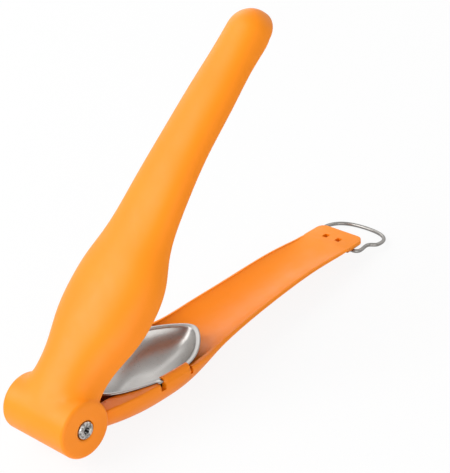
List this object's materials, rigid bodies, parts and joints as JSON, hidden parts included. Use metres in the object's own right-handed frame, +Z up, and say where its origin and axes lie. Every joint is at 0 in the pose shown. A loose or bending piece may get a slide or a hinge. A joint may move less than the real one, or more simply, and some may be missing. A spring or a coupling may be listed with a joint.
{
  "type": "chestnut cutter",
  "caption": "Sprung two-lever kitchen cutter that scores a cross in a chestnut held in a steel cup, with a wire bail that hangs it and locks it shut.",
  "frame": {"origin": "on the surface that it stands on, under the middle of the whole part as it stands open", "axes": "+X from the hinge to the tail along the lower lever, Y along the hinge pin with the screw head at -Y, +Z up"},
  "size_m": [0.1824, 0.0396, 0.1192],
  "materials": {
    "orange_plastic": "matte",
    "polished_steel": "polished",
    "plated_steel": "satin",
    "spring_steel": "satin",
    "blade_steel": "satin"
  },
  "bodies": {
    "lower_lever": {"lower_handle": "orange_plastic", "nut_cup": "polished_steel", "spring_bush": "plated_steel", "torsion_spring": "spring_steel"},
    "upper_lever": {"upper_handle": "orange_plastic", "hinge_post": "plated_steel", "hinge_screw": "plated_steel", "blade_plate": "blade_steel", "long_blade": "blade_steel", "cross_blade": "blade_steel", "front_blade_screw": "plated_steel", "rear_blade_screw": "plated_steel"},
    "bail": {"locking_bail": "spring_steel"}
  },
  "joints": [
    {"name": "lever_hinge", "type": "hinge", "parent": "lower_lever", "child": "upper_lever", "pos_m": [-0.08053, 0, 0.015], "axis": [0, 1, 0], "range_deg": [0, 38], "stiffness_Nm_per_rad": 0.4, "springref_deg": -28.65, "deforming": ["torsion_spring"]},
    {"name": "bail_hinge", "type": "hinge", "parent": "lower_lever", "child": "bail", "pos_m": [0.06836, 0, 0.00528], "axis": [0, 1, 0], "range_deg": [-105, 150]}
  ]
}
